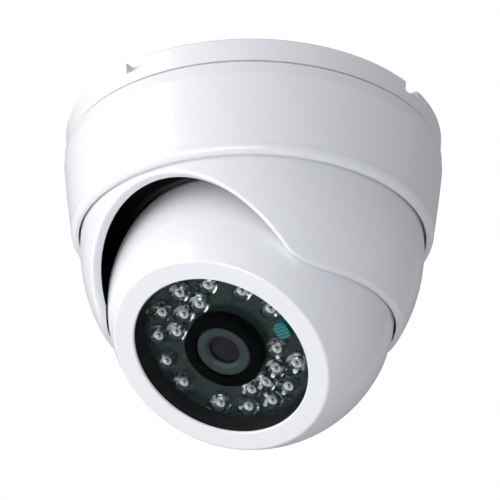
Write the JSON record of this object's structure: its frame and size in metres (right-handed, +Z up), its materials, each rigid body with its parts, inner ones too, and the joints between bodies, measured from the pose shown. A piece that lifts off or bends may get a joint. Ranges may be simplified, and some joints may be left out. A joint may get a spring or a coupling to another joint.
{
  "type": "dome cctv camera",
  "caption": "Ceiling-mounted dome security camera with a rotating shroud, a tilting eyeball, an infrared LED window and a quarter-turn cover ring.",
  "frame": {"origin": "centre of the ceiling face of the base, on the pan axis, where the cable hole opens", "axes": "+Z up into the ceiling along the pan axis and the cable hole; the eyeball faces -Y, tilted down, and +X is the tilt axis"},
  "size_m": [0.0948, 0.0948, 0.0791],
  "materials": {
    "white_shell": "glossy moulded white",
    "black_plastic": "satin moulded black",
    "black_rubber": "matte",
    "black_foam": "matte closed-cell foam",
    "steel": "zinc plated",
    "brass": "turned",
    "window_glass": "clear flat glass",
    "dark_board": "dark green solder mask",
    "green_board": "green solder mask",
    "led_resin": "water-clear epoxy",
    "solder": "bright solder",
    "sensor_teal": "teal cadmium sulphide face under clear resin",
    "resistor_black": "ceramic chip",
    "chip_black": "moulded epoxy",
    "sensor_die": "ceramic package",
    "connector_white": "moulded nylon",
    "wire_red": "PVC insulation",
    "filter_glass": "coated",
    "lens_grey": "grey-green anodised",
    "lens_glass": "coated lens"
  },
  "bodies": {
    "base": {"base_plate": "white_shell", "bayonet_collar": "white_shell", "cable_grommet": "black_rubber", "friction_ring": "black_rubber"},
    "lock_ring": {"lock_ring": "white_shell"},
    "shroud": {"shroud": "white_shell", "shroud_liner": "black_plastic", "liner_screws": "steel", "pivot_pins": "steel"},
    "eyeball": {"eyeball_front_shell": "white_shell", "eyeball_rear_shell": "white_shell", "shell_seals": "black_rubber", "shell_screws": "steel", "window_glass": "window_glass", "window_seal": "black_rubber", "window_bezel": "black_plastic", "ir_board": "dark_board", "ir_leds": "led_resin", "led_solder_joints": "solder", "light_sensor": "sensor_teal", "board_resistors": "resistor_black", "foam_light_shield": "black_foam", "ir_board_screws": "steel", "board_standoffs": "brass", "sensor_board": "green_board", "sensor_board_screws": "steel", "sensor_board_chips": "chip_black", "image_sensor": "sensor_die", "board_connectors": "connector_white", "ir_link_wires": "wire_red", "lens_holder": "black_plastic", "lens_holder_screws": "steel", "ir_cut_filter": "filter_glass"},
    "lens": {"lens_barrel": "lens_grey", "lens_front_element": "lens_glass", "lens_rear_element": "lens_glass", "lens_spacer": "black_plastic", "lens_retainer": "black_plastic", "lens_lock_nut": "black_plastic"}
  },
  "joints": [
    {"name": "ring_twist", "type": "hinge", "parent": "base", "child": "lock_ring", "pos_m": [0, 0, -0.0155], "axis": [0, 0, 1], "range_deg": [0, 20]},
    {"name": "pan", "type": "hinge", "parent": "base", "child": "shroud", "pos_m": [0, 0, -0.0233], "axis": [0, 0, 1], "range_deg": [-175, 175]},
    {"name": "tilt", "type": "hinge", "parent": "shroud", "child": "eyeball", "pos_m": [0, 0, -0.04565], "axis": [1, 0, 0], "range_deg": [-31, 33]},
    {"name": "lens_focus", "type": "hinge", "parent": "eyeball", "child": "lens", "pos_m": [0, 0, -0.04565], "axis": [0, -0.5468, -0.8372], "range_deg": [-180, 180]}
  ]
}
